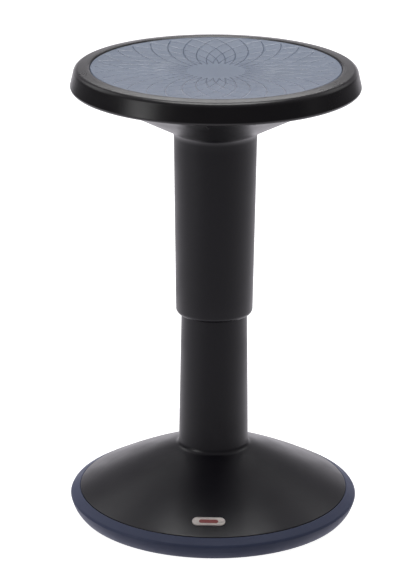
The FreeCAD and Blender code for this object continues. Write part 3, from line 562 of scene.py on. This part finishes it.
def make_pad():
    """Dished soft pad with a rosette of crossing arcs sunk into it.

    The mesh follows the arcs. Every vertex is a crossing of one arc that leans left and one that leans
    right, so each groove keeps its width, and the rosette ends on a true circle at both ends.
    """
    petals, periods = 32, 5
    tip, span = PAD_RADIUS * 0.96, PAD_RADIUS * 1.62
    half_width, depth, hollow = 1.1 * MM, 0.2 * MM, 5 * MM
    fade_start, fade_length = 36 * MM, 24 * MM  # the grooves run out towards the middle
    steepest = math.radians(88)
    pitch = 2 * math.pi / petals
    start = math.acos(tip / span)
    # A place across one period of a family: how far to the next arc, and how far across the groove.
    samples = [(0.0, c) for c in (-1.0, -0.6, 0.0, 0.6, 1.0)] + [(k / 6, 1 - k / 3) for k in range(1, 6)]
    floor_points, floor_cells = (1, 2, 3), (1, 2)  # the samples on the flat floor, and the cells between them
    share = len(samples)

    def dish(radius):
        """Height of the pad's top at a radius."""
        return PAD_TOP - hollow * (1 - (radius / PAD_RADIUS) ** 2)

    def groove_angle(lean):
        """Angle that the groove's half width covers where the arc leans so much."""
        return 2 * half_width / (span * math.sin(2 * lean))

    def crossing(a, b):
        """Radius and angle where arc a of one family meets arc b of the other."""
        (turn_a, part_a), (turn_b, part_b) = divmod(a, share), divmod(b, share)
        (t_a, c_a), (t_b, c_b) = samples[part_a], samples[part_b]
        lean = start
        for _ in range(12):
            wide = groove_angle(lean)
            first = (turn_a + t_a) * pitch + c_a * wide
            second = (turn_b + t_b) * pitch + c_b * wide
            lean = min(start + (first - second) / 2, steepest)
        return span * math.cos(lean), (first + second) / 2

    total, deep = petals * share, periods * share
    vertices, index = [], {}
    for a in range(total):
        for d in range(deep + 1):
            radius, angle = crossing(a, a - d)
            fade = min(1.0, max(0.0, (radius - fade_start) / fade_length))
            sunk = a % share in floor_points or (a - d) % share in floor_points
            drop = depth * fade * sunk
            index[a, d] = len(vertices)
            vertices.append((radius * math.cos(angle), radius * math.sin(angle), dish(radius) - drop))
    faces, groove = [], []
    for a in range(total):
        for d in range(deep + 1):
            here, ahead = index[a, d], index[(a + 1) % total, d]
            across = index[(a + 1) % total, d + 1] if d < deep else None
            behind = index[a, d - 1] if d else None
            corners = [v for v in (here, across, ahead, behind) if v is not None]
            if len(corners) > 2:
                faces.append(corners)
                groove.append(a % share in floor_cells or (a - d) % share in floor_cells)

    def add_ring(edge, radius, height):
        """A ring of new vertices at the same angles as another ring."""
        ring = []
        for vertex in edge:
            x, y, _ = vertices[vertex]
            ring.append(len(vertices))
            vertices.append((*polar(radius, math.atan2(y, x)), height))
        return ring

    edge = [index[a, 0] for a in range(total)]
    roll = [(tip + 1.4 * MM, 0.0), (PAD_RADIUS - 1.9 * MM, 0.0), (PAD_RADIUS - 0.95 * MM, 0.1 * MM),
            (PAD_RADIUS - 0.35 * MM, 0.45 * MM), (PAD_RADIUS - 0.05 * MM, 1.1 * MM), (PAD_RADIUS, 2.2 * MM)]
    for radius, height in [(radius, dish(radius) - drop) for radius, drop in roll] + [(PAD_RADIUS, PAD_LOW)]:
        ring = add_ring(edge, radius, height)
        for k in range(total):
            m = (k + 1) % total
            faces.append((edge[k], edge[m], ring[m], ring[k]))
        edge = ring
    faces.append(edge)
    edge = [index[a, deep] for a in range(total)]
    inner = math.hypot(*vertices[edge[0]][:2])
    for part in (0.8, 0.6, 0.4, 0.2):
        ring = add_ring(edge, inner * part, dish(inner * part))
        for k in range(total):
            m = (k + 1) % total
            faces.append((edge[k], ring[k], ring[m], edge[m]))
        edge = ring
    centre = len(vertices)
    vertices.append((0, 0, dish(0)))
    for k in range(total):
        faces.append((edge[k], centre, edge[(k + 1) % total]))
    groove += [False] * (len(faces) - len(groove))
    pad = new_piece("seat_cushion", vertices, faces, [PAD, SHADED_PAD_GROOVE], "seat", "pad_rubber", ["seat_pad"])
    # Faces flagged as groove take the darker groove finish: painted shade along the sunk grooves
    pad.data.polygons.foreach_set("material_index", [int(g) for g in groove])
    smooth(pad.data, 180)
    pad.modifiers.new("flat_floors", "WEIGHTED_NORMAL")


# ---------------------------------------------------------------- CAD nodes that stay


def finish_frame():
    """Gives every CAD node its finish, and soft edges to the paddle."""
    slot_of = {part["node"]: part["material_slot"] for part in frame["record"]["subparts"]}
    for name, node in frame["nodes"].items():
        node.data.materials.clear()
        node.data.materials.append(FINISHES[slot_of[name]])
    paddle = frame["nodes"]["lever_paddle"]
    weld = paddle.modifiers.new("weld", "WELD")
    weld.merge_threshold = 0.01 * MM
    bevel = paddle.modifiers.new("bevel", "BEVEL")
    bevel.width = 0.9 * MM
    bevel.segments = 4
    bevel.limit_method = "ANGLE"
    bevel.angle_limit = math.radians(40)


# ---------------------------------------------------------------- studio


def make_stage():
    """A wide pale floor, which the camera sees as plain white. The white backdrop is the world's."""
    radius, height, corners = 40, -0.2 * MM, 96
    rim = [(*polar(radius, 2 * math.pi * k / corners), height) for k in range(corners)]
    mesh = bpy.data.meshes.new("studio_floor")
    mesh.from_pydata(rim, [], [list(range(corners))])
    floor = bpy.data.objects.new("studio_floor", mesh)
    bpy.context.scene.collection.objects.link(floor)
    finish = Finish("studio_floor")
    pale = finish.mix(finish.spread(finish.noise(1.5), 0, 1), (0.46, 0.46, 0.46, 1), (0.50, 0.50, 0.50, 1))
    finish.link(pale, "Base Color")
    finish.set(Roughness=0.9, Specular_IOR_Level=0.1)
    finish.shader.inputs["Emission Color"].default_value = (1, 1, 1, 1)
    finish.link(finish.node("ShaderNodeLightPath").outputs["Is Camera Ray"], "Emission Strength")
    mesh.materials.append(finish.material)
    floor.visible_glossy = False


def make_world():
    """The studio all round: a bright floor, a dim room that is bright only low down behind the object, and
    plain white for whatever the camera sees directly."""
    room_top = 0.31
    backdrop = 1.05
    world = bpy.data.worlds.new("studio")
    bpy.context.scene.world = world
    world.use_nodes = True
    tree = world.node_tree
    tree.nodes.clear()
    place = tree.nodes.new("ShaderNodeTexCoord")
    split = tree.nodes.new("ShaderNodeSeparateXYZ")
    tree.links.new(place.outputs["Generated"], split.inputs[0])

    def ramp(axis, start, end, low, high):
        """A smooth step along one axis. low and high are numbers or other steps."""
        node = tree.nodes.new("ShaderNodeMapRange")
        node.interpolation_type = "SMOOTHSTEP"
        tree.links.new(split.outputs[axis], node.inputs["Value"])
        for key, value in (("From Min", start), ("From Max", end), ("To Min", low), ("To Max", high)):
            if isinstance(value, bpy.types.NodeSocket):
                tree.links.new(value, node.inputs[key])
            else:
                node.inputs[key].default_value = value
        return node.outputs[0]

    far_floor = ramp("Y", -1.0, 0.95, 0.45, 1.15)
    near_floor = ramp("Y", -0.85, 0.1, 0.75, 1.35)
    floor = ramp("Z", -0.80, -0.30, near_floor, far_floor)
    low_wall = ramp("Y", 0.80, 0.99, 0.12, 1.35)
    high_wall = ramp("Y", 0.35, 0.95, 0.16, 0.25)
    walls = ramp("Z", 0.02, 0.24, low_wall, high_wall)
    room = ramp("Z", 0.34, 0.85, walls, room_top)
    strength = ramp("Z", -0.37, -0.13, floor, room)
    soft = tree.nodes.new("ShaderNodeBackground")
    soft.inputs["Color"].default_value = (0.985, 0.955, 1.02, 1)
    tree.links.new(strength, soft.inputs["Strength"])
    white = tree.nodes.new("ShaderNodeBackground")
    white.inputs["Color"].default_value = (1, 1, 1, 1)
    white.inputs["Strength"].default_value = backdrop
    path = tree.nodes.new("ShaderNodeLightPath")
    choose = tree.nodes.new("ShaderNodeMixShader")
    out = tree.nodes.new("ShaderNodeOutputWorld")
    tree.links.new(path.outputs["Is Camera Ray"], choose.inputs[0])
    tree.links.new(soft.outputs[0], choose.inputs[1])
    tree.links.new(white.outputs[0], choose.inputs[2])
    tree.links.new(choose.outputs[0], out.inputs[0])


def softbox(name, place, aim, width, height, power):
    """A rectangular light aimed at a point. Its size is in metres and its power in watts."""
    data = bpy.data.lights.new(name, "AREA")
    data.shape = "RECTANGLE"
    data.size, data.size_y = width, height
    data.energy = power
    light = bpy.data.objects.new(name, data)
    bpy.context.scene.collection.objects.link(light)
    light.location = place
    light.rotation_euler = (Vector(aim) - Vector(place)).to_track_quat("-Z", "Y").to_euler()


def make_lights():
    softbox("top_box", (0.0, 0.12, 2.7), (0, 0, 0.4), 1.6, 0.9, 40)
    softbox("back_box", (0.0, 2.45, 2.2), (0, 0, 0.5), 1.4, 0.6, 12)
    softbox("left_box", (-2.15, -1.3, 0.95), (0, 0, 0.4), 0.9, 1.3, 10)
    softbox("right_box", (2.5, -0.5, 1.1), (0, 0, 0.4), 0.4, 1.2, 0.5)
    softbox("left_wash", (-2.2, 1.2, 1.9), (0, 0, 0.2), 1.8, 1.4, 9)
    softbox("right_wash", (2.2, 1.2, 1.9), (0, 0, 0.2), 1.8, 1.4, 6)


def make_camera():
    """The photograph's view: a long lens, looking down, with a very slight roll. Angles are in degrees."""
    down, roll = 18.87, 0.33
    data = bpy.data.cameras.new("camera")
    data.sensor_width = 36
    data.lens = 170.8
    data.clip_end = 100
    camera = bpy.data.objects.new("camera", data)
    bpy.context.scene.collection.objects.link(camera)
    tilt = Matrix.Rotation(math.radians(90 - down), 4, "X") @ Matrix.Rotation(math.radians(roll), 4, "Z")
    camera.matrix_world = Matrix.Translation((-0.0110, -3.009, 1.3147)) @ tilt
    bpy.context.scene.camera = camera
    bpy.context.scene.view_settings.view_transform = "Standard"


make_sole()
make_ring()
make_dome()
make_badge()
make_upper()
make_rim()
make_pad()
finish_frame()
make_stage()
make_world()
make_lights()
make_camera()
